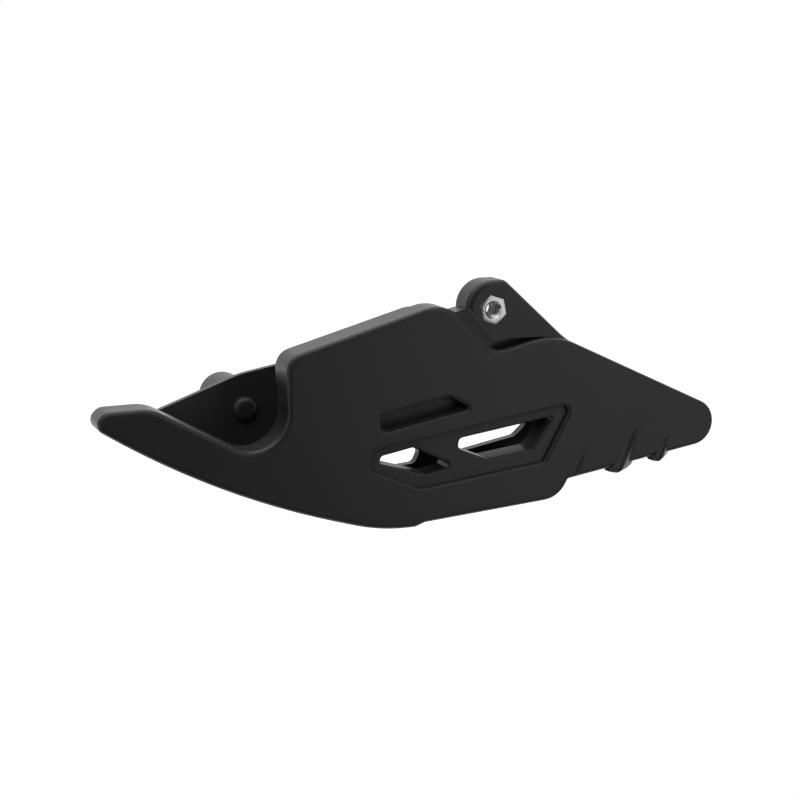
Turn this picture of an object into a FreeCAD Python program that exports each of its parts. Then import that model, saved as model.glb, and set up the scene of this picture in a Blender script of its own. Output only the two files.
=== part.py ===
import FreeCAD, Part
import Sketcher
import math
import os

# Chain guide: a one-piece moulded channel with a captive nut in its ear.
# X runs along the chain towards the rear wheel, Y through the guide from the outer wall inwards,
# Z up. The origin is the middle of the nut's thread. All sizes in millimetres and degrees.

doc = FreeCAD.newDocument("chain_guide")
sheet = doc.addObject("Spreadsheet::Sheet", "Sizes")

sizes = {
    # captive nut, its seat and the bolt that comes from behind
    "nut_flats": 10.0,
    "nut_height": 5.0,
    "nut_turn": 12.5,
    "nut_clearance": 0.05,
    "thread_bore": 5.0,
    "thread_chamfer": 0.9,
    "bolt_hole": 6.6,
    # walls, counted along Y
    "ear_setback": 3.0,
    "ear_thickness": 10.5,
    "wall_thickness": 11.5,
    "channel_width": 21.0,
    "rear_thickness": 3.5,
    "floor_thickness": 5.0,
    # belly, one long arc from the nose to the keel
    "belly_centre_x": 29.9,
    "belly_centre_z": 226.3,
    "belly_radius": 312.8,
    "nose_tip_x": -149.3,
    "nose_tip_round": 3.5,
    "belly_end_x": -62.6,
    "keel_round": 72.0,
    "floor_front_x": -131.0,
    # inward lip along the upper edge
    "rim_end_x": -22.0,
    "rim_end_round": 7.5,
    "rim_height": 10.5,
    # recesses and edges of the outer face
    "field_depth": 2.0,
    "slot_depth": 7.0,
    "edge_round": 1.7,
    "ear_edge_round": 2.2,
    "window_edge_round": 0.8,
    "field_edge_round": 1.2,
    "scoop_depth": 4.0,
    # blend between the ridge and the ear
    "blend_top_z": -1.0,
    "blend_low_z": -12.5,
    "blend_top_start": -16.5,
    "blend_top_end": -5.8,
    "blend_top_sink": 0.08,
    "blend_low_start": -4.6,
    "blend_low_end": 0.6,
    "blend_low_sink": 0.5,
    "blend_depth": 2.0,
    # locating peg behind the rear wall and the dome at its root
    "peg_x": -86.2,
    "peg_z": -35.2,
    "peg_diameter": 17.6,
    "peg_length": 26.5,
    "peg_round": 1.6,
    "dome_diameter": 9.4,
    "dome_height": 2.8,
    "dome_round": 2.6,
    "rear_edge_round": 1.0,
    # raised gills on the tail
    "gill_sink": 3.0,
    "gill_tip": 0.3,
    "gill_crest_round": 1.2,
    "gill_toe_drop": 1.9,
    "gill_toe_share": 0.4,
    "gill_instep_drop": 1.3,
    "gill_instep_share": 0.78,
}

# Corners as name, x, z and corner radius; a radius of 0 leaves the corner sharp.
panel_corners = [
    ("nose_top", -144.4, -25.5, 4.0),
    ("nose_back", -128.6, -25.5, 14.0),
    ("pocket_low", -80.5, -52.7, 12.7),
    ("pocket_high", -80.5, -11.9, 6.5),
    ("ridge_start", -19.3, 4.75, 15.0),
    ("ridge_valley", -0.8, -15.6, 10.0),
    ("ridge_crest", 24.5, -10.0, 28.0),
    ("tail_top", 95.6, -43.4, 9.0),
    ("tail_low", 95.6, -57.0, 9.0),
    ("step", 31.4, -66.2, 1.0),
    ("heel", 27.5, -73.2, 11.0),
    ("belly_step", -28.0, -76.6, 0.0),
    ("belly_ramp", -31.8, -77.9, 0.0),
]
ear_corners = [
    ("ear_side", -10.3, 10.8, 10.2),
    ("ear_shoulder", 5.2, 10.8, 4.0),
    ("ear_foot", 32.0, -13.6, 40.0),
    ("ear_end", 46.0, -20.6, 0.0),
    ("ear_root", 40.0, -26.0, 0.0),
    ("ear_base", -10.3, -26.0, 0.0),
]
rear_corners = [
    ("rear_brow", -121.0, -34.1, 12.0),
    ("rear_crown", -88.0, -22.4, 40.0),
    ("rear_peak", -30.0, -12.5, 20.0),
    ("rear_fall", 12.0, -17.0, 30.0),
    ("rear_tail_top", 78.0, -45.0, 7.0),
    ("rear_tail_low", 78.0, -58.5, 6.0),
]
field_corners = [
    ("field_left", -49.8, -54.4, 2.0),
    ("field_top", -49.0, -47.6, 2.0),
    ("field_right", 32.8, -37.0, 2.5),
    ("field_low", 20.8, -58.4, 2.0),
    ("field_point", -29.3, -63.6, 2.0),
]
slot_corners = [
    ("slot_left", -45.6, -40.2, 1.6),
    ("slot_top", -45.4, -34.8, 1.0),
    ("slot_brow", -18.6, -30.1, 1.6),
    ("slot_right", -9.4, -35.3, 0.8),
    ("slot_low", -42.2, -41.0, 1.4),
]
left_window_corners = [
    ("left_window_side", -45.6, -53.0, 1.2),
    ("left_window_top", -44.6, -50.4, 1.4),
    ("left_window_brow", -32.2, -48.3, 1.2),
    ("left_window_right", -17.6, -55.6, 1.0),
    ("left_window_tip", -18.6, -57.6, 0.7),
    ("left_window_low", -26.8, -58.8, 1.6),
]
right_window_corners = [
    ("right_window_side", -14.2, -50.4, 2.0),
    ("right_window_top", -13.6, -46.6, 1.8),
    ("right_window_right", 25.6, -41.6, 0.8),
    ("right_window_low", 16.6, -53.4, 1.6),
    ("right_window_point", -2.4, -55.4, 1.6),
]
scoop_corners = [
    ("scoop_left", -2.2, -12.3, 1.0),
    ("scoop_top", 6.0, -10.7, 8.0),
    ("scoop_right", 23.0, -11.2, 1.0),
    ("scoop_end", 20.0, -14.2, 1.0),
    ("scoop_low", 2.0, -16.2, 1.0),
]
rear_window_corners = [
    ("rear_left_window", [(-46.0, -58.4), (-43.0, -52.0), (-22.0, -49.0), (-16.2, -58.0), (-18.2, -62.3),
                          (-30.0, -63.2)]),
    ("rear_right_window", [(-8.0, -56.0), (-6.0, -47.5), (30.0, -43.5), (29.4, -51.6), (24.8, -55.6),
                           (-2.0, -60.2)]),
]
rear_window_round = 2.6

# Gills as name, foot x and z, head x and z, height, steep run and long run at the foot.
gills = [
    ("tail_crease", 34.6, -63.0, 47.2, -38.0, 0.7, 3.0, 12.0),
    ("front_gill", 53.0, -63.6, 63.4, -44.2, 2.6, 5.0, 7.5),
    ("rear_gill", 71.2, -60.9, 76.4, -49.6, 2.2, 4.2, 5.5),
]


class Size:
    # A number together with the sheet formula that gives it.
    def __init__(self, value, text):
        self.value = value
        self.text = text

    @staticmethod
    def of(other):
        return other if isinstance(other, Size) else Size(float(other), repr(float(other)))

    def joined(self, sign, other, value):
        return Size(value, "(%s %s %s)" % (self.text, sign, other.text))

    def __add__(self, other):
        other = Size.of(other)
        return self.joined("+", other, self.value + other.value)

    def __sub__(self, other):
        other = Size.of(other)
        return self.joined("-", other, self.value - other.value)

    def __mul__(self, other):
        other = Size.of(other)
        return self.joined("*", other, self.value * other.value)

    def __truediv__(self, other):
        other = Size.of(other)
        return self.joined("/", other, self.value / other.value)

    def root(self):
        return Size(math.sqrt(self.value), "sqrt(%s)" % self.text)

    def __neg__(self):
        return Size(-self.value, "(0 - %s)" % self.text)


class Corner:
    def __init__(self, name, x, z, radius=None):
        self.name = name
        self.x = x
        self.z = z
        self.radius = radius


def add_corner_sizes(rows):
    for name, x, z, radius in rows:
        sizes[name + "_x"] = x
        sizes[name + "_z"] = z
        if radius:
            sizes[name + "_round"] = radius


for rows in (panel_corners, ear_corners, rear_corners, field_corners, slot_corners,
             left_window_corners, right_window_corners, scoop_corners):
    add_corner_sizes(rows)
for name, places in rear_window_corners:
    add_corner_sizes([("%s_%s" % (name, "abcdef"[i]), x, z, 0.0) for i, (x, z) in enumerate(places)])
sizes["rear_window_round"] = rear_window_round
for name, foot_x, foot_z, head_x, head_z, height, steep, gentle in gills:
    sizes[name + "_foot_x"] = foot_x
    sizes[name + "_foot_z"] = foot_z
    sizes[name + "_head_x"] = head_x
    sizes[name + "_head_z"] = head_z
    sizes[name + "_height"] = height
    sizes[name + "_steep"] = steep
    sizes[name + "_gentle"] = gentle

for row, (name, number) in enumerate(sizes.items(), start=1):
    sheet.set("A%d" % row, name)
    sheet.set("B%d" % row, repr(number))
    sheet.setAlias("B%d" % row, name)
doc.recompute()


def size(name):
    return Size(sizes[name], "Sizes." + name)


def corner(name):
    radius = size(name + "_round") if name + "_round" in sizes else None
    return Corner(name, size(name + "_x"), size(name + "_z"), radius)


def corners(rows):
    return [corner(row[0]) for row in rows]


# Planes across the guide, along Y
nut_half = size("nut_height") / 2
ear_face = -nut_half
panel_face = ear_face - size("ear_setback")
ear_back = ear_face + size("ear_thickness")
wall_back = panel_face + size("wall_thickness")
rear_inner = wall_back + size("channel_width")
rear_back = rear_inner + size("rear_thickness")


def origin_plane(body, role):
    return next(feature for feature in body.Origin.OriginFeatures if feature.Role == role)


def new_sketch(body, name, role, offset):
    sketch = body.newObject("Sketcher::SketchObject", name)
    sketch.AttachmentSupport = [(origin_plane(body, role), "")]
    sketch.MapMode = "FlatFace"
    sketch.setExpression("AttachmentOffset.Base.z", offset.text)
    return sketch


def upright_sketch(body, name, plane_y):
    # The upright plane's own normal points to -Y.
    return new_sketch(body, name, "XZ_Plane", -plane_y)


def bind(sketch, items):
    # Each item is a constraint's kind, its geometry, its size and its name.
    for kind, geometry, amount, name in items:
        index = sketch.addConstraint(Sketcher.Constraint(kind, *geometry, amount.value))
        sketch.renameConstraint(index, name)
        sketch.setExpression("Constraints." + name, amount.text)


def belly_height(x, radius):
    # Height of the belly arc at one x.
    centre_x, centre_z = sizes["belly_centre_x"], sizes["belly_centre_z"]
    return centre_z - math.sqrt(radius.value ** 2 - (x.value - centre_x) ** 2)


def keel_corner(name, radius, height):
    # Corner at this height on the tangent that leaves the belly arc at its rear end.
    across = size("belly_end_x") - size("belly_centre_x")
    drop = (radius * radius - across * across).root()
    end_height = size("belly_centre_z") - drop
    along = (height - end_height) * drop / across
    return Corner(name, size("belly_end_x") + along, height, size("keel_round"))


def draw_outline(sketch, points, arcs=None):
    # Closed outline with rounded corners. arcs gives the radius of each side, named by the point that
    # it starts from, that is an arc about the belly's centre; that side's ends lie on it.
    arcs = arcs or {}
    count = len(points)
    places = []
    for i, point in enumerate(points):
        arc_radius = arcs.get(point.name) or arcs.get(points[i - 1].name)
        height = belly_height(point.x, arc_radius) if point.z is None else point.z.value
        places.append(FreeCAD.Vector(point.x.value, height, 0))
    entry, leave, round_centre = [], [], []
    for i, point in enumerate(points):
        here = places[i]
        before = (places[i - 1] - here).normalize()
        after = (places[(i + 1) % count] - here).normalize()
        if point.radius is None:
            entry.append(here)
            leave.append(here)
            round_centre.append(None)
            continue
        half = before.getAngle(after) / 2
        reach = point.radius.value / math.tan(half)
        entry.append(here + before * reach)
        leave.append(here + after * reach)
        round_centre.append(here + (before + after).normalize() * (point.radius.value / math.sin(half)))
    up = FreeCAD.Vector(0, 0, 1)
    side_ends = []
    arc_ends = {}
    for i in range(count):
        start, end = leave[i], entry[(i + 1) % count]
        if points[i].name in arcs:
            middle = FreeCAD.Vector(sizes["belly_centre_x"], sizes["belly_centre_z"], 0)
            first, last = sorted((start, end), key=lambda place: place.x)
            angles = [math.atan2(p.y - middle.y, p.x - middle.x) for p in (first, last)]
            circle = Part.Circle(middle, up, arcs[points[i].name].value)
            side = sketch.addGeometry(Part.ArcOfCircle(circle, angles[0], angles[1]), False)
            side_ends.append(((side, 1), (side, 2)) if start.x < end.x else ((side, 2), (side, 1)))
        else:
            side = sketch.addGeometry(Part.LineSegment(start, end), False)
            side_ends.append(((side, 1), (side, 2)))
    for i, point in enumerate(points):
        if point.radius is None:
            continue
        middle = round_centre[i]
        turn = (places[i] - places[i - 1]).cross(places[(i + 1) % count] - places[i]).z
        first, last = (entry[i], leave[i]) if turn > 0 else (leave[i], entry[i])
        angles = [math.atan2(p.y - middle.y, p.x - middle.x) for p in (first, last)]
        arc = sketch.addGeometry(Part.ArcOfCircle(Part.Circle(middle, up, point.radius.value), *angles), False)
        arc_ends[i] = ((arc, 1), (arc, 2)) if turn > 0 else ((arc, 2), (arc, 1))
    for i, point in enumerate(points):
        arriving, leaving = side_ends[i - 1][1], side_ends[i][0]
        if point.radius is None:
            sketch.addConstraint(Sketcher.Constraint("Coincident", *arriving, *leaving))
            bind(sketch, [("DistanceX", leaving, point.x, point.name + "_x")])
            if point.z is not None:
                bind(sketch, [("DistanceY", leaving, point.z, point.name + "_z")])
            continue
        mark = sketch.addGeometry(Part.Point(places[i]), True)
        sketch.addConstraint([
            Sketcher.Constraint("Tangent", *arriving, *arc_ends[i][0]),
            Sketcher.Constraint("Tangent", *leaving, *arc_ends[i][1]),
            Sketcher.Constraint("PointOnObject", mark, 1, arriving[0]),
            Sketcher.Constraint("PointOnObject", mark, 1, leaving[0]),
        ])
        bind(sketch, [("DistanceX", (mark, 1), point.x, point.name + "_x"),
                      ("DistanceY", (mark, 1), point.z, point.name + "_z"),
                      ("Radius", (arc_ends[i][0][0],), point.radius, point.name + "_round")])
    for i, point in enumerate(points):
        if point.name in arcs:
            arc = side_ends[i][0][0]
            bind(sketch, [("DistanceX", (arc, 3), size("belly_centre_x"), point.name + "_arc_x"),
                          ("DistanceY", (arc, 3), size("belly_centre_z"), point.name + "_arc_z"),
                          ("Radius", (arc,), arcs[point.name], point.name + "_arc_radius")])


def draw_circle(sketch, x, z, diameter):
    middle = FreeCAD.Vector(x.value, z.value, 0)
    circle = sketch.addGeometry(Part.Circle(middle, FreeCAD.Vector(0, 0, 1), diameter.value / 2), False)
    bind(sketch, [("DistanceX", (circle, 3), x, "centre_x"), ("DistanceY", (circle, 3), z, "centre_z"),
                  ("Diameter", (circle,), diameter, "diameter")])


def draw_hexagon(sketch, flats, turn):
    # Hexagon about the origin; its first corner leans by turn from straight up.
    radius = flats / (2 * math.cos(math.radians(30)))
    angles = [math.radians(90 + turn.value + 60 * i) for i in range(6)]
    tips = [FreeCAD.Vector(math.cos(a), math.sin(a), 0) * radius.value for a in angles]
    ring = sketch.addGeometry(Part.Circle(FreeCAD.Vector(), FreeCAD.Vector(0, 0, 1), radius.value), True)
    sketch.addConstraint(Sketcher.Constraint("Coincident", ring, 3, -1, 1))
    bind(sketch, [("Radius", (ring,), radius, "corner_radius")])
    sides = [sketch.addGeometry(Part.LineSegment(tips[i], tips[(i + 1) % 6]), False) for i in range(6)]
    for i, side in enumerate(sides):
        sketch.addConstraint(Sketcher.Constraint("Coincident", side, 2, sides[(i + 1) % 6], 1))
        sketch.addConstraint(Sketcher.Constraint("PointOnObject", side, 1, ring))
    for side in sides[1:]:
        sketch.addConstraint(Sketcher.Constraint("Equal", sides[0], side))
    spoke = sketch.addGeometry(Part.LineSegment(FreeCAD.Vector(), tips[0]), True)
    sketch.addConstraint(Sketcher.Constraint("Coincident", spoke, 1, -1, 1))
    sketch.addConstraint(Sketcher.Constraint("Coincident", spoke, 2, sides[0], 1))
    lean = sketch.addConstraint(Sketcher.Constraint("Angle", -2, 1, spoke, 1, math.radians(turn.value)))
    sketch.renameConstraint(lean, "turn")
    sketch.setExpression("Constraints.turn", turn.text + " * 1 deg")


def settle(feature):
    # Works the feature out and stops at once if it failed.
    doc.recompute()
    if "Invalid" in feature.State or "Error" in feature.State or not feature.Shape.isValid():
        raise RuntimeError("%s failed" % feature.Label)
    return feature


def pad(body, name, sketch, depth, inwards=True):
    # Inwards is +Y, from the outer face into the guide.
    feature = body.newObject("PartDesign::Pad", name)
    feature.Profile = sketch
    feature.setExpression("Length", depth.text)
    feature.Reversed = inwards
    return settle(feature)


def pocket(body, name, sketch, depth):
    # Cuts from the sketch's plane towards +Y.
    volume = body.Shape.Volume
    feature = body.newObject("PartDesign::Pocket", name)
    feature.Profile = sketch
    feature.setExpression("Length", depth.text)
    settle(feature)
    if not feature.Shape.Volume < volume:
        raise RuntimeError("%s cuts nothing" % name)
    return feature


def edge_names(shape, wanted):
    return ["Edge%d" % i for i, edge in enumerate(shape.Edges, start=1) if wanted(edge)]


def middle_of(edge):
    return edge.valueAt((edge.FirstParameter + edge.LastParameter) / 2)


def lies_at(edge, plane_y, slack=1e-4):
    places = [v.Point.y for v in edge.Vertexes] + [middle_of(edge).y]
    return all(abs(y - plane_y.value) < slack for y in places)


def is_above_floor(place):
    # True away from the belly arc and higher than the foot of the step.
    reach = math.hypot(place.x - sizes["belly_centre_x"], place.z - sizes["belly_centre_z"])
    return reach < sizes["belly_radius"] - 0.1 and place.z > sizes["step_z"]


def ease(body, kind, name, base, edges, key, amount):
    # Rounds or chamfers the named edges of the base feature.
    feature = body.newObject("PartDesign::" + kind, name)
    feature.Base = (base, edges)
    feature.setExpression(key, amount.text)
    return settle(feature)


def inner_rims(shape, plane_y):
    # Edges of the openings in the flat faces that lie at one depth.
    rims = []
    for face in shape.Faces:
        if all(lies_at(edge, plane_y) for edge in face.Edges):
            for wire in face.Wires:
                if not wire.isSame(face.OuterWire):
                    rims.extend(wire.Edges)
    return edge_names(shape, lambda edge: any(edge.isSame(rim) for rim in rims))


guide = doc.addObject("PartDesign::Body", "guide_body")

# Ear, set back behind the panel's upper edge
ear_sketch = upright_sketch(guide, "ear_outline", ear_face)
draw_outline(ear_sketch, corners(ear_corners))
ear = pad(guide, "ear", ear_sketch, wall_back - ear_face)
ear = ease(guide, "Fillet", "ear_rounding", ear, edge_names(ear.Shape, lambda e: lies_at(e, ear_face)),
           "Radius", size("ear_edge_round"))

# Outer wall
panel_sketch = upright_sketch(guide, "panel_outline", panel_face)
nose_tip = Corner("nose_tip", size("nose_tip_x"), None)
belly_end = Corner("belly_end", size("belly_end_x"), None)
belly_arc = {"belly_end": size("belly_radius")}
keel = keel_corner("keel", size("belly_radius"), size("belly_ramp_z"))
draw_outline(panel_sketch, [nose_tip] + corners(panel_corners) + [keel, belly_end], belly_arc)
panel = pad(guide, "panel", panel_sketch, size("wall_thickness"))
tip_edges = edge_names(panel.Shape, lambda e: len(e.Vertexes) == 2 and all(
    abs(v.Point.x - sizes["nose_tip_x"]) < 0.01 for v in e.Vertexes))
panel = ease(guide, "Fillet", "nose_tip_rounding", panel, tip_edges, "Radius", size("nose_tip_round"))
face_edges = edge_names(panel.Shape, lambda e: lies_at(e, panel_face))
panel = ease(guide, "Fillet", "panel_rounding", panel, face_edges, "Radius", size("edge_round"))

# Floor of the chain channel, from the front of the rear wall to the step under the tail
thick = size("floor_thickness")
belly_step, step = corner("belly_step"), corner("step")
underside = [corner(name) for name in ("heel", "belly_step", "belly_ramp")] + [keel, belly_end]
floor_radius = size("belly_radius") - thick
floor_front = Corner("floor_front", size("floor_front_x"), None)
floor_sketch = upright_sketch(guide, "floor_outline", wall_back)
draw_outline(floor_sketch, [
    floor_front,
    Corner("floor_front_top", size("floor_front_x"), None),
    Corner("floor_belly", size("belly_end_x"), None),
    keel_corner("floor_keel", floor_radius, keel.z + thick),
    Corner("floor_middle", belly_step.x, belly_step.z + thick),
    Corner("floor_end", step.x, step.z),
] + underside, {"floor_front_top": floor_radius, **belly_arc})
pad(guide, "floor", floor_sketch, size("channel_width"))

# Rear wall
rear_sketch = upright_sketch(guide, "rear_outline", rear_inner)
draw_outline(rear_sketch, [floor_front] + corners(rear_corners) + [step] + underside, belly_arc)
rear_wall = pad(guide, "rear_wall", rear_sketch, size("rear_thickness"))
top_edges = edge_names(rear_wall.Shape, lambda e: lies_at(e, rear_back) and is_above_floor(middle_of(e)))
ease(guide, "Fillet", "rear_rounding", rear_wall, top_edges, "Radius", size("rear_edge_round"))

# Back of the ear, which stands proud of the outer wall towards the chain
ear_back_sketch = upright_sketch(guide, "ear_back_outline", wall_back)
draw_outline(ear_back_sketch, corners(ear_corners))
pad(guide, "ear_back", ear_back_sketch, ear_back - wall_back)

# Lip that thickens the upper edge towards the chain
pocket_high, ridge_start = corner("pocket_high"), corner("ridge_start")
rim_slope = (ridge_start.z - pocket_high.z) / (ridge_start.x - pocket_high.x)
rim_end_z = pocket_high.z + rim_slope * (size("rim_end_x") - pocket_high.x)
rim_sketch = upright_sketch(guide, "rim_outline", ear_face)
draw_outline(rim_sketch, [
    pocket_high,
    Corner("rim_end", size("rim_end_x"), rim_end_z, size("rim_end_round")),
    Corner("rim_end_low", size("rim_end_x"), rim_end_z - size("rim_height")),
    Corner("rim_low", pocket_high.x, pocket_high.z - size("rim_height")),
])
pad(guide, "rim", rim_sketch, size("ear_thickness"))

# Seat of the nut, sunk into the ear, and the way through for the bolt
seat_sketch = upright_sketch(guide, "nut_seat_outline", ear_face)
draw_hexagon(seat_sketch, size("nut_flats") + size("nut_clearance") * 2, size("nut_turn"))
pocket(guide, "nut_seat", seat_sketch, size("nut_height"))
hole_sketch = upright_sketch(guide, "bolt_hole_outline", ear_face)
draw_circle(hole_sketch, Size(0.0, "0"), Size(0.0, "0"), size("bolt_hole"))
pocket(guide, "bolt_hole", hole_sketch, size("ear_thickness") + size("nut_height"))

# Scoop at the foot of the ear, behind the panel's upper edge
scoop_sketch = upright_sketch(guide, "scoop_outline", ear_face)
draw_outline(scoop_sketch, corners(scoop_corners))
pocket(guide, "scoop", scoop_sketch, size("scoop_depth"))


# Blend that lets the ridge run out on the face of the ear
def blend_section(part):
    sketch = new_sketch(guide, "blend_" + part, "XY_Plane", size("blend_%s_z" % part))
    start, end = size("blend_%s_start" % part), size("blend_%s_end" % part)
    draw_outline(sketch, [
        Corner("outer", start, panel_face + size("blend_%s_sink" % part)),
        Corner("inner", end, ear_face + size("blend_top_sink")),
        Corner("root", start, ear_face + size("blend_depth")),
    ])
    return sketch


def loft(name, sections):
    feature = guide.newObject("PartDesign::AdditiveLoft", name)
    feature.Profile = sections[0]
    feature.Sections = sections[1:]
    feature.Ruled = True
    return settle(feature)


loft("ear_blend", [blend_section("low"), blend_section("top")])

# Sunken field, blind slot and windows of the outer wall
field_sketch = upright_sketch(guide, "field_outline", panel_face)
draw_outline(field_sketch, corners(field_corners))
pocket(guide, "field", field_sketch, size("field_depth"))
slot_sketch = upright_sketch(guide, "slot_outline", panel_face)
draw_outline(slot_sketch, corners(slot_corners))
pocket(guide, "slot", slot_sketch, size("slot_depth"))
for name, rows in (("left_window", left_window_corners), ("right_window", right_window_corners)):
    window_sketch = upright_sketch(guide, name + "_outline", panel_face)
    draw_outline(window_sketch, corners(rows))
    window = pocket(guide, name, window_sketch, size("wall_thickness") + size("field_depth"))
field_floor = panel_face + size("field_depth")
window = ease(guide, "Fillet", "window_rounding", window, inner_rims(window.Shape, field_floor),
              "Radius", size("window_edge_round"))
ease(guide, "Fillet", "field_rounding", window, inner_rims(window.Shape, panel_face),
     "Radius", size("field_edge_round"))

# Windows of the rear wall
for name, places in rear_window_corners:
    opening = [corner("%s_%s" % (name, letter)) for letter in "abcdef"]
    for place in opening:
        place.radius = size("rear_window_round")
    window_sketch = upright_sketch(guide, name + "_outline", rear_inner)
    draw_outline(window_sketch, opening)
    pocket(guide, name, window_sketch, size("rear_thickness") * 2)

# Locating peg behind the rear wall, and the dome on its axis inside the channel
peg_sketch = upright_sketch(guide, "peg_outline", rear_inner)
draw_circle(peg_sketch, size("peg_x"), size("peg_z"), size("peg_diameter"))
peg = pad(guide, "peg", peg_sketch, size("rear_thickness") + size("peg_length"))
peg_end = rear_back + size("peg_length")
peg = ease(guide, "Fillet", "peg_rounding", peg, edge_names(peg.Shape, lambda e: lies_at(e, peg_end)),
           "Radius", size("peg_round"))
dome_sketch = upright_sketch(guide, "dome_outline", rear_inner)
draw_circle(dome_sketch, size("peg_x"), size("peg_z"), size("dome_diameter"))
dome = pad(guide, "dome", dome_sketch, size("dome_height"), inwards=False)
dome_top = rear_inner - size("dome_height")
ease(guide, "Fillet", "dome_rounding", dome, edge_names(dome.Shape, lambda e: lies_at(e, dome_top)),
     "Radius", size("dome_round"))

# Gills: ribs with a steep front and a long back that fade out upwards, with a foot that draws in
def gill_section(name, part, x, z, height, share):
    sketch = new_sketch(guide, "%s_%s" % (name, part), "XY_Plane", z)
    root = panel_face + size("gill_sink") * share
    draw_outline(sketch, [
        Corner("front_root", x - size(name + "_steep") * share, root),
        Corner("crest", x, panel_face - height, size("gill_crest_round") * share),
        Corner("rear_root", x + size(name + "_gentle") * share, root),
    ])
    return sketch


whole = Size(1.0, "1")
for row in gills:
    name = row[0]
    foot_x, foot_z = size(name + "_foot_x"), size(name + "_foot_z")
    head_x, head_z = size(name + "_head_x"), size(name + "_head_z")
    lean = (head_x - foot_x) / (head_z - foot_z)
    steps = []
    for part in ("toe", "instep"):
        drop, share = size("gill_%s_drop" % part), size("gill_%s_share" % part)
        steps.append(gill_section(name, part, foot_x - drop * lean, foot_z - drop,
                                  size(name + "_height") * share, share))
    steps.append(gill_section(name, "foot", foot_x, foot_z, size(name + "_height"), whole))
    steps.append(gill_section(name, "head", head_x, head_z, -size("gill_tip"), whole))
    loft(name, steps)

# Captive nut
nut = doc.addObject("PartDesign::Body", "ear_nut")
nut_sketch = upright_sketch(nut, "nut_outline", ear_face)
draw_hexagon(nut_sketch, size("nut_flats"), size("nut_turn"))
pad(nut, "nut_block", nut_sketch, size("nut_height"))
bore_sketch = upright_sketch(nut, "bore_outline", ear_face)
draw_circle(bore_sketch, Size(0.0, "0"), Size(0.0, "0"), size("thread_bore"))
bore = pocket(nut, "bore", bore_sketch, size("nut_height"))
bore_edges = edge_names(bore.Shape, lambda e: e.Curve.TypeId == "Part::GeomCircle")
ease(nut, "Chamfer", "bore_chamfer", bore, bore_edges, "Size", size("thread_chamfer"))

doc.recompute()
for item in doc.Objects:
    if "Invalid" in item.State or "Error" in item.State:
        raise RuntimeError("%s failed" % item.Label)
os.makedirs("parts", exist_ok=True)
for piece in (guide, nut):
    piece.Label = piece.Name
    piece.Placement = FreeCAD.Placement()
    if piece.Shape.isNull() or not piece.Shape.isValid() or len(piece.Shape.Solids) != 1:
        raise RuntimeError("%s has no single valid solid" % piece.Label)
    piece.Shape.exportStep("parts/%s.step" % piece.Label)
    print(piece.Label, "%.1f mm3" % piece.Shape.Volume, piece.Shape.BoundBox)
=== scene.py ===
import math

import bpy
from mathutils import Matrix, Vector


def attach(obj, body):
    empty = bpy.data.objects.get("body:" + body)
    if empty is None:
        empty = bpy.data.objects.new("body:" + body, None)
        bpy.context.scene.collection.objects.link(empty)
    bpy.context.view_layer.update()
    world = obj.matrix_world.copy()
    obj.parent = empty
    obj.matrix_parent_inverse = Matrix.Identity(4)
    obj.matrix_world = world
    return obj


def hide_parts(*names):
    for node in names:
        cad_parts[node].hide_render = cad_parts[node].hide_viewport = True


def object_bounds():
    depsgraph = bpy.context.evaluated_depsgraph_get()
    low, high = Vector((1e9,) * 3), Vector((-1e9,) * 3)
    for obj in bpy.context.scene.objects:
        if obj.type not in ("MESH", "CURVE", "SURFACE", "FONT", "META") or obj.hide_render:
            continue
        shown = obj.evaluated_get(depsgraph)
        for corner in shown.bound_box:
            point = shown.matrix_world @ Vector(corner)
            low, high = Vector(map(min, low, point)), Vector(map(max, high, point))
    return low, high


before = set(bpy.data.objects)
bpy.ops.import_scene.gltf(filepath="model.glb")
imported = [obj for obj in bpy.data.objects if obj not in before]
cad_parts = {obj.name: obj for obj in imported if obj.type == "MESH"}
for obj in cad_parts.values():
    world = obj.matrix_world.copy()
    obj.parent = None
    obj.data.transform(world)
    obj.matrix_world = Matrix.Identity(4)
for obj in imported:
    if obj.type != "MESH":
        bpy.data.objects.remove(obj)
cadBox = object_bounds()
print("frame loaded")


class Value:  # one socket of a node tree, with arithmetic that adds Math nodes
    def __init__(self, tree, socket):
        self.tree = tree
        self.socket = socket

    def calc(self, operation, first, second):
        return addNode(self.tree, "ShaderNodeMath", {"operation": operation}, {0: first, 1: second})

    def __add__(self, other):
        return self.calc("ADD", self, other)

    def __sub__(self, other):
        return self.calc("SUBTRACT", self, other)

    def __rsub__(self, other):
        return self.calc("SUBTRACT", other, self)

    def __mul__(self, other):
        return self.calc("MULTIPLY", self, other)

    def above(self, other):
        return self.calc("MAXIMUM", self, other)


def addNode(tree, kind, settings=None, inputs=None, output=0):
    node = tree.nodes.new(kind)
    for name, setting in (settings or {}).items():
        setattr(node, name, setting)
    for name, given in (inputs or {}).items():
        if isinstance(given, Value):
            tree.links.new(given.socket, node.inputs[name])
        else:
            node.inputs[name].default_value = given
    if len(node.outputs):
        return Value(tree, node.outputs[output])


def newFinish(name):
    finish = bpy.data.materials.new(name)
    finish.use_nodes = True
    finish.node_tree.nodes.clear()
    return finish, finish.node_tree


def closeFinish(tree, shader):
    addNode(tree, "ShaderNodeOutputMaterial", {}, {"Surface": shader})


def grey(level):
    return (level, level, level, 1.0)


def mixGrey(tree, amount, low, high):
    # colour between two stops, by a value from 0 to 1; the Mix node's colour sockets go by number
    return addNode(tree, "ShaderNodeMix", {"data_type": "RGBA"},
                   {"Factor": amount, 6: low, 7: high}, 2)


def addNoise(tree, place, look, name):
    # noise with the scale, detail and gain that the finish's values give for it
    return addNode(tree, "ShaderNodeTexNoise", {},
                   {"Vector": place, "Scale": look[name + "Scale"],
                    "Detail": look[name + "Detail"], "Roughness": look[name + "Gain"]})


def spread(pattern, width):
    # a pattern from 0 to 1, as a spread of the given width about zero
    return (pattern - 0.5) * width


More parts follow.
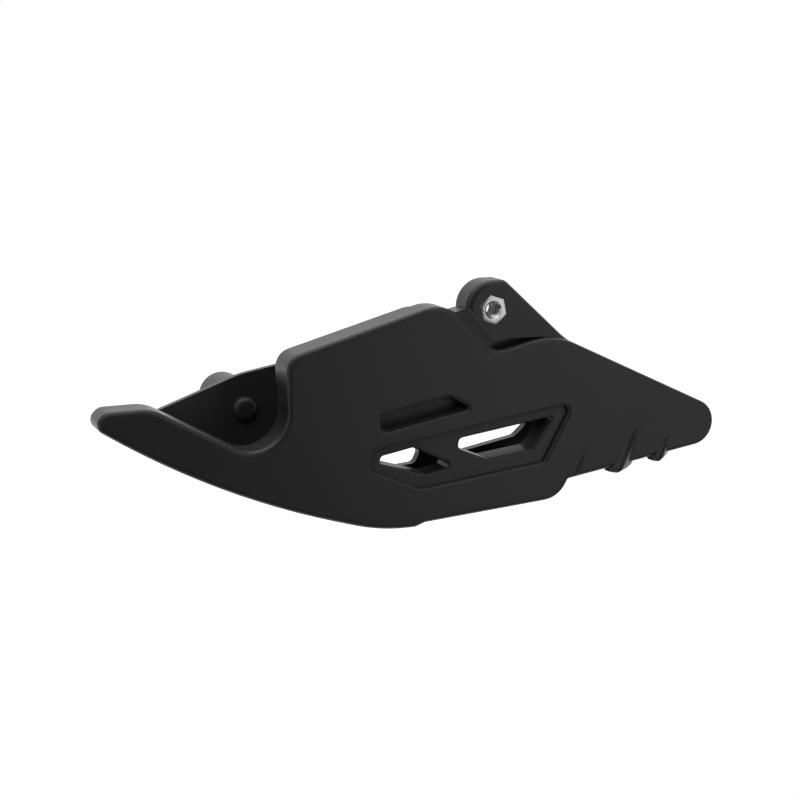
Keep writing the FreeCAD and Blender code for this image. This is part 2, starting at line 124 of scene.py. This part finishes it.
plastic = {
    "dark": (0.0145, 0.0145, 0.0146, 1.0),
    "light": (0.0200, 0.0200, 0.0201, 1.0),
    "cloudScale": 55.0,      # patches of the mould's flow, per metre
    "cloudDetail": 4.0,
    "cloudGain": 0.55,
    "grainScale": 1500.0,    # spark-eroded grain, per metre
    "grainDetail": 3.0,
    "grainGain": 0.6,
    "speckScale": 4200.0,
    "cloudTone": 0.7,        # shares in the colour
    "grainTone": 0.3,
    "grainShare": 0.7,       # shares in the height of the bump
    "speckShare": 0.3,
    "roughness": 0.33,
    "roughSpread": 0.10,
    "specular": 0.34,
    "grainStrength": 0.16,
    "grainHeight": 0.00006,
}


def mouldedPlastic():
    finish, tree = newFinish("mouldedPlastic")
    place = addNode(tree, "ShaderNodeTexCoord", {}, {}, "Object")
    cloud = addNoise(tree, place, plastic, "cloud")
    grain = addNoise(tree, place, plastic, "grain")
    speck = addNode(tree, "ShaderNodeTexVoronoi", {},
                    {"Vector": place, "Scale": plastic["speckScale"], "Randomness": 1.0})
    tone = cloud * plastic["cloudTone"] + grain * plastic["grainTone"]
    colour = mixGrey(tree, tone, plastic["dark"], plastic["light"])
    uneven = spread(cloud, plastic["roughSpread"]) + spread(grain, plastic["roughSpread"])
    rough = uneven + plastic["roughness"]
    height = grain * plastic["grainShare"] + speck * plastic["speckShare"]
    bump = addNode(tree, "ShaderNodeBump", {},
                   {"Strength": plastic["grainStrength"], "Distance": plastic["grainHeight"],
                    "Height": height})
    shader = addNode(tree, "ShaderNodeBsdfPrincipled", {},
                     {"Base Color": colour, "Roughness": rough, "Normal": bump,
                      "Specular IOR Level": plastic["specular"]})
    closeFinish(tree, shader)
    return finish


zinc = {
    "dark": (0.48, 0.48, 0.485, 1.0),
    "light": (0.70, 0.70, 0.695, 1.0),
    "cloudScale": 700.0,     # clouds and brush marks of the coating, per metre
    "cloudDetail": 3.0,
    "cloudGain": 0.6,
    "brushScale": 5200.0,
    "brushDetail": 2.0,
    "brushGain": 0.5,
    "roughness": 0.27,
    "roughSpread": 0.16,
    "brushStrength": 0.12,
    "brushHeight": 0.00002,
}


def brightZinc():
    finish, tree = newFinish("brightZinc")
    place = addNode(tree, "ShaderNodeTexCoord", {}, {}, "Object")
    cloud = addNoise(tree, place, zinc, "cloud")
    brush = addNoise(tree, place, zinc, "brush")
    colour = mixGrey(tree, cloud, zinc["dark"], zinc["light"])
    rough = spread(cloud, zinc["roughSpread"]) + zinc["roughness"]
    bump = addNode(tree, "ShaderNodeBump", {},
                   {"Strength": zinc["brushStrength"], "Distance": zinc["brushHeight"], "Height": brush})
    shader = addNode(tree, "ShaderNodeBsdfPrincipled", {},
                     {"Base Color": colour, "Roughness": rough, "Normal": bump, "Metallic": 1.0})
    closeFinish(tree, shader)
    return finish


def pickOnly(piece):
    bpy.ops.object.select_all(action="DESELECT")
    piece.select_set(True)
    bpy.context.view_layer.objects.active = piece


def dress(piece, finish):
    piece.data.materials.clear()
    piece.data.materials.append(finish)


def applyModifier(piece, kind, **settings):
    pickOnly(piece)
    modifier = piece.modifiers.new(kind.lower(), kind)
    for name, setting in settings.items():
        setattr(modifier, name, setting)
    bpy.ops.object.modifier_apply(modifier=modifier.name)


def mergeMesh(piece, distance):
    pickOnly(piece)
    bpy.ops.object.mode_set(mode="EDIT")
    bpy.ops.mesh.select_all(action="SELECT")
    bpy.ops.mesh.remove_doubles(threshold=distance)
    bpy.ops.object.mode_set(mode="OBJECT")


blend = {
    "ridgeCorner": (-0.0193, 0.00475),  # where the ridge's two sides would meet, in X and Z
    "lean": 42.3,            # way from the ridge to the ear, above X in degrees
    "swingStart": -0.0026,   # reach over the panel and over the ear, from the ridge's falling side
    "swingEnd": 0.0049,
    "rise": 0.003,           # panel's face above the ear's face
    "topPoint": (-0.0204, 0.0003),  # flat top, in X and Z, which rises a little towards the ear
    "topNormal": (-0.09, 0.0, 0.996),
    "stepsAcross": 38,       # facets of the sheet
    "stepsAlong": 16,
    "edgeSlack": 0.000002,   # what still counts as the sheet's raised border
}
# each block: sides across and ends along the falling side, face at the ear, thickness, and extra height
blendFill = {
    "sides": (-0.0026, 0.0049),
    "ends": (-0.0010, 0.0228),
    "face": -0.00248,
    "depth": -0.008,
    "lift": 0.0,
}
blendCut = {
    "sides": (-0.0031, 0.0064),
    "ends": (-0.0014, 0.0232),
    "face": -0.00252,
    "depth": 0.005,
    "lift": 0.0004,
}


def makeBlendBlock(block):
    # sheet that swings from the panel's face down to the ear's face, thickened to one side
    left, right = block["sides"]
    upper, lower = block["ends"]
    bpy.ops.object.select_all(action="DESELECT")
    bpy.ops.mesh.primitive_grid_add(x_subdivisions=blend["stepsAcross"],
                                    y_subdivisions=blend["stepsAlong"], size=1)
    tool = bpy.context.active_object
    tool.scale = (right - left, lower - upper, 1)
    tool.location = ((right + left) / 2, -(lower + upper) / 2, 0)
    bpy.ops.object.transform_apply(location=True, rotation=True, scale=True)
    bpy.ops.object.mode_set(mode="EDIT")
    bpy.ops.mesh.select_all(action="DESELECT")
    bpy.ops.object.mode_set(mode="OBJECT")
    for vertex in tool.data.vertices:
        vertex.select = vertex.co.x < blend["swingStart"] + blend["edgeSlack"]
    bpy.ops.object.mode_set(mode="EDIT")
    bpy.ops.transform.translate(value=(0, 0, blend["rise"]), use_proportional_edit=True,
                                proportional_edit_falloff="SMOOTH",
                                proportional_size=blend["swingEnd"] - blend["swingStart"])
    bpy.ops.mesh.select_all(action="SELECT")
    bpy.ops.mesh.extrude_region_move(TRANSFORM_OT_translate={"value": (0, 0, block["depth"])})
    bpy.ops.mesh.select_all(action="SELECT")
    bpy.ops.mesh.normals_make_consistent(inside=False)
    bpy.ops.object.mode_set(mode="OBJECT")
    tool.rotation_euler = (math.radians(90), math.radians(-blend["lean"]), 0)
    tool.location = (blend["ridgeCorner"][0], block["face"], blend["ridgeCorner"][1])
    bpy.ops.object.transform_apply(location=True, rotation=True, scale=True)
    bpy.ops.object.mode_set(mode="EDIT")
    bpy.ops.mesh.select_all(action="SELECT")
    bpy.ops.mesh.bisect(plane_co=(blend["topPoint"][0], 0, blend["topPoint"][1] + block["lift"]),
                        plane_no=blend["topNormal"], clear_outer=True, use_fill=True)
    bpy.ops.object.mode_set(mode="OBJECT")
    return tool


def blendIntoEar(piece):
    # lets the ridge run out smoothly on the face of the ear
    for block, operation in ((blendFill, "UNION"), (blendCut, "DIFFERENCE")):
        tool = makeBlendBlock(block)
        before = len(piece.data.polygons)
        applyModifier(piece, "BOOLEAN", operation=operation, object=tool, solver="EXACT")
        bpy.data.objects.remove(tool)
        if len(piece.data.polygons) < before / 2:
            raise RuntimeError("the blend's %s lost the moulding" % operation.lower())


shell = {
    "mergeDistance": 0.000002,
    "smoothAngle": 32.0,
    "normalWeight": 80,      # how far large faces lead the shading of their corners
}


def makeShell():
    # the moulding with its facets merged, so that roundings shade smoothly
    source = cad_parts["guide_body"]
    piece = bpy.data.objects.new("guideShell", source.data.copy())
    bpy.context.scene.collection.objects.link(piece)
    pickOnly(piece)
    bpy.ops.mesh.customdata_custom_splitnormals_clear()
    mergeMesh(piece, shell["mergeDistance"])
    blendIntoEar(piece)
    pickOnly(piece)
    bpy.ops.object.shade_smooth_by_angle(angle=math.radians(shell["smoothAngle"]))
    applyModifier(piece, "WEIGHTED_NORMAL", keep_sharp=True, weight=shell["normalWeight"])
    return piece


nut = {
    "flats": 0.010,
    "height": 0.005,
    "turn": 12.5,            # lean of one corner from straight up, in degrees
    "edgeRound": 0.00025,
    "edgeSegments": 3,
    "roundSides": 64,        # facets round the bore and the countersinks
    "majorRadius": 0.00302,
    "crestRadius": 0.00246,
    "pitch": 0.001,
    "turns": 4,
    "turnSteps": 48,
    "ridgeHalf": 0.45,       # half the ridge's foot, as a share of the pitch
    "sinkWide": 0.0034,      # countersink at the face and at its inner end
    "sinkNarrow": 0.0024,
    "sinkDepth": 0.0010,
    "mergeDistance": 0.000001,
    "smoothAngle": 30.0,
}


def cutAway(piece, cutter):
    applyModifier(piece, "BOOLEAN", operation="DIFFERENCE", object=cutter, solver="EXACT")


def makeSink(side):
    # cone that opens at one face of the nut, drawn out past it
    bpy.ops.object.select_all(action="DESELECT")
    bpy.ops.mesh.primitive_cone_add(
        vertices=nut["roundSides"], radius1=nut["sinkNarrow"],
        radius2=2 * nut["sinkWide"] - nut["sinkNarrow"], depth=2 * nut["sinkDepth"],
        location=(0, side * nut["height"] / 2, 0), rotation=(math.radians(-90 * side), 0, 0))
    bpy.ops.object.transform_apply(location=True, rotation=True, scale=True)
    return bpy.context.active_object


def makeRidge():
    # ridge of the thread: a diamond section carried round by a screw
    depth = nut["majorRadius"] - nut["crestRadius"]
    start = (nut["majorRadius"], -nut["pitch"] * nut["turns"] / 2, 0)
    bpy.ops.object.select_all(action="DESELECT")
    bpy.ops.mesh.primitive_circle_add(vertices=4, radius=depth, fill_type="NOTHING", location=start)
    bpy.ops.object.transform_apply(location=True, rotation=True, scale=True)
    ridge = bpy.context.active_object
    pickOnly(ridge)
    bpy.ops.object.mode_set(mode="EDIT")
    bpy.ops.mesh.select_all(action="SELECT")
    bpy.ops.transform.resize(value=(1, nut["ridgeHalf"] * nut["pitch"] / depth, 1), center_override=start)
    bpy.ops.object.mode_set(mode="OBJECT")
    applyModifier(ridge, "SCREW", axis="Y", screw_offset=nut["pitch"], iterations=nut["turns"],
                  steps=nut["turnSteps"], render_steps=nut["turnSteps"], use_merge_vertices=False)
    pickOnly(ridge)
    bpy.ops.object.mode_set(mode="EDIT")
    bpy.ops.mesh.select_all(action="SELECT")
    bpy.ops.mesh.fill_holes(sides=4)
    bpy.ops.mesh.select_all(action="SELECT")
    bpy.ops.mesh.normals_make_consistent(inside=False)
    bpy.ops.object.mode_set(mode="OBJECT")
    return ridge


def makeNut():
    bpy.ops.object.select_all(action="DESELECT")
    bpy.ops.mesh.primitive_cylinder_add(
        vertices=6, radius=nut["flats"] / math.sqrt(3), depth=nut["height"],
        rotation=(math.radians(90), math.radians(-nut["turn"]), 0))
    bpy.ops.object.transform_apply(location=True, rotation=True, scale=True)
    block = bpy.context.active_object
    block.name = "threadedNut"
    applyModifier(block, "BEVEL", width=nut["edgeRound"], segments=nut["edgeSegments"], limit_method="ANGLE")
    bpy.ops.object.select_all(action="DESELECT")
    bpy.ops.mesh.primitive_cylinder_add(
        vertices=nut["roundSides"], radius=nut["majorRadius"], depth=2 * nut["height"],
        rotation=(math.radians(90), 0, 0))
    bpy.ops.object.transform_apply(location=True, rotation=True, scale=True)
    drill = bpy.context.active_object
    cutAway(block, drill)
    ridge = makeRidge()
    sinks = [makeSink(-1), makeSink(1)]
    for sink in sinks:
        cutAway(block, sink)
        cutAway(ridge, sink)
    for part in (block, ridge):
        mergeMesh(part, nut["mergeDistance"])
    for cutter in [drill] + sinks:
        bpy.data.objects.remove(cutter)
    bpy.ops.object.select_all(action="DESELECT")
    ridge.select_set(True)
    block.select_set(True)
    bpy.context.view_layer.objects.active = block
    bpy.ops.object.join()
    bpy.ops.object.shade_smooth_by_angle(angle=math.radians(nut["smoothAngle"]))
    return block


guideShell = makeShell()
dress(guideShell, mouldedPlastic())
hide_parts("guide_body")
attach(guideShell, "root")
print("moulding dressed:", len(guideShell.data.polygons), "faces")

threadedNut = makeNut()
dress(threadedNut, brightZinc())
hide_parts("ear_nut")
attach(threadedNut, "root")
print("nut made:", len(threadedNut.data.polygons), "faces")

studio = {
    "floorDrop": 0.09,       # floor below the lowest point of the guide
    "floorSize": 6.0,
    "floorFront": -0.05,     # front border of the floor
    "floorColour": grey(0.35),
    "floorGlow": 0.90,       # added to what lights the floor, so that it shows white and keeps a shadow
    "seenWhite": 1.0,
    "behindLeft": 0.22,      # light from the backdrop and from the camera's side, to the left and right
    "behindRight": 1.0,
    "aheadLeft": 0.10,
    "aheadRight": 1.80,
    "behindLeftEdge": -0.45,  # directions between which one passes into the other
    "behindRightEdge": 0.12,
    "leftEdge": 0.05,
    "rightEdge": 0.6,
    "fadeEdge": 0.62,        # the light from the right falls off again past here
    "darkEdge": 0.90,
    "darkShare": 0.30,
    "frontEdge": 0.25,
    "backEdge": 0.80,
    "lowShare": 0.45,        # share of the light that comes from below the horizon
    "lowEdge": -0.40,
    "highEdge": 0.10,
}


def seenBy(tree, *rays):
    # 1 for the named kinds of ray, 0 for the rest
    node = addNode(tree, "ShaderNodeLightPath").socket.node
    seen = [Value(tree, node.outputs[name]) for name in rays]
    for other in seen[1:]:
        seen[0] = seen[0].above(other)
    return seen[0]


def makeFloor():
    bpy.ops.object.select_all(action="DESELECT")
    middle = studio["floorFront"] + studio["floorSize"] / 2
    bpy.ops.mesh.primitive_plane_add(size=studio["floorSize"],
                                     location=(0, middle, cadBox[0][2] - studio["floorDrop"]))
    bpy.ops.object.transform_apply(location=True, rotation=True, scale=True)
    floor = bpy.context.active_object
    floor.name = "studioFloor"
    finish, tree = newFinish("paleFloor")
    paint = addNode(tree, "ShaderNodeBsdfDiffuse", {}, {"Color": studio["floorColour"]})
    glow = addNode(tree, "ShaderNodeEmission", {}, {"Color": grey(1.0), "Strength": studio["floorGlow"]})
    lit = addNode(tree, "ShaderNodeAddShader", {}, {0: paint, 1: glow})
    seen = seenBy(tree, "Is Camera Ray", "Is Glossy Ray", "Is Transmission Ray")
    shader = addNode(tree, "ShaderNodeMixShader", {}, {0: seen, 1: paint, 2: lit})
    closeFinish(tree, shader)
    dress(floor, finish)


cards = [
    # name, place, tilt, turn, width, height, grey; cards round the guide, which shape its sheen
    ("leftCard", (-0.80, -1.20, 0.20), 90.0, 0.0, 2.4, 2.6, 0.10),
    ("rightCard", (1.20, -0.55, 0.20), 90.0, 90.0, 0.8, 2.6, 0.70),
    ("backCard", (-1.20, 0.95, 0.20), 90.0, 90.0, 1.5, 2.6, 0.40),
    ("lowCard", (-0.20, -0.80, -0.65), 0.0, 0.0, 2.4, 1.3, 0.12),
]


def makeCards():
    for name, place, tilt, turn, width, height, level in cards:
        finish, tree = newFinish(name)
        closeFinish(tree, addNode(tree, "ShaderNodeBsdfDiffuse", {}, {"Color": grey(level)}))
        bpy.ops.object.select_all(action="DESELECT")
        bpy.ops.mesh.primitive_plane_add(size=1)
        card = bpy.context.active_object
        card.name = name
        card.scale = (width, height, 1)
        card.rotation_euler = (math.radians(tilt), 0, math.radians(turn))
        card.location = place
        bpy.ops.object.transform_apply(location=True, rotation=True, scale=True)
        card.visible_camera = False
        dress(card, finish)


def passOver(amount, start, end, low, high):
    # smooth passage from low to high between two directions of the studio
    return addNode(amount.tree, "ShaderNodeMapRange", {"interpolation_type": "SMOOTHSTEP"},
                   {"Value": amount, "From Min": studio[start], "From Max": studio[end],
                    "To Min": low, "To Max": high})


def makeWorld():
    world = bpy.data.worlds.new("studioWorld")
    world.use_nodes = True
    tree = world.node_tree
    tree.nodes.clear()
    way = addNode(tree, "ShaderNodeTexCoord")
    across, depth, height = [addNode(tree, "ShaderNodeSeparateXYZ", {}, {0: way}, axis) for axis in "XYZ"]
    gain = passOver(across, "leftEdge", "rightEdge", 0.0, studio["aheadRight"] - studio["aheadLeft"])
    ahead = gain * passOver(across, "fadeEdge", "darkEdge", 1.0, studio["darkShare"]) + studio["aheadLeft"]
    backShare = passOver(depth, "frontEdge", "backEdge", 0.0, 1.0)
    behind = passOver(across, "behindLeftEdge", "behindRightEdge",
                      studio["behindLeft"], studio["behindRight"])
    turn = ahead * (1 - backShare) + behind * backShare
    level = turn * passOver(height, "lowEdge", "highEdge", studio["lowShare"], 1.0)
    seen = seenBy(tree, "Is Camera Ray", "Is Glossy Ray", "Is Transmission Ray")
    strength = seen * studio["seenWhite"] + (1 - seen) * level
    sky = addNode(tree, "ShaderNodeBackground", {}, {"Color": grey(1.0), "Strength": strength})
    addNode(tree, "ShaderNodeOutputWorld", {}, {"Surface": sky})
    bpy.context.scene.world = world


lamps = [
    # name, place, aimed at, width, height, watts, seen in the sheen
    ("topBox", (-0.10, 0.15, 0.80), (-0.02, 0.0, -0.03), 1.2, 0.9, 2.6, True),
    ("leftBox", (-0.50, -0.45, 0.50), (-0.12, 0.03, -0.02), 0.7, 0.5, 3.8, False),
]


def makeLamps():
    for name, place, aim, width, height, watts, seen in lamps:
        lamp = bpy.data.lights.new(name, "AREA")
        lamp.shape = "RECTANGLE"
        lamp.size = width
        lamp.size_y = height
        lamp.energy = watts
        holder = bpy.data.objects.new(name, lamp)
        holder.visible_glossy = seen
        holder.location = place
        holder.rotation_euler = (Vector(aim) - Vector(place)).to_track_quat("-Z", "Y").to_euler()
        bpy.context.scene.collection.objects.link(holder)


eye = {
    "place": (-0.2597, -0.5194, 0.0872),
    "tilt": 78.2,
    "turn": -23.3,
    "lens": 72.0,
    "sensor": 36.0,
    "clipStart": 0.01,
}


def makeEye():
    camera = bpy.data.cameras.new("eye")
    camera.lens = eye["lens"]
    camera.sensor_width = eye["sensor"]
    camera.clip_start = eye["clipStart"]
    holder = bpy.data.objects.new("eye", camera)
    holder.location = eye["place"]
    holder.rotation_euler = (math.radians(eye["tilt"]), 0, math.radians(eye["turn"]))
    bpy.context.scene.collection.objects.link(holder)
    bpy.context.scene.camera = holder


makeFloor()
makeCards()
makeWorld()
makeLamps()
makeEye()
bpy.context.scene.view_settings.view_transform = "Standard"
print("studio set")
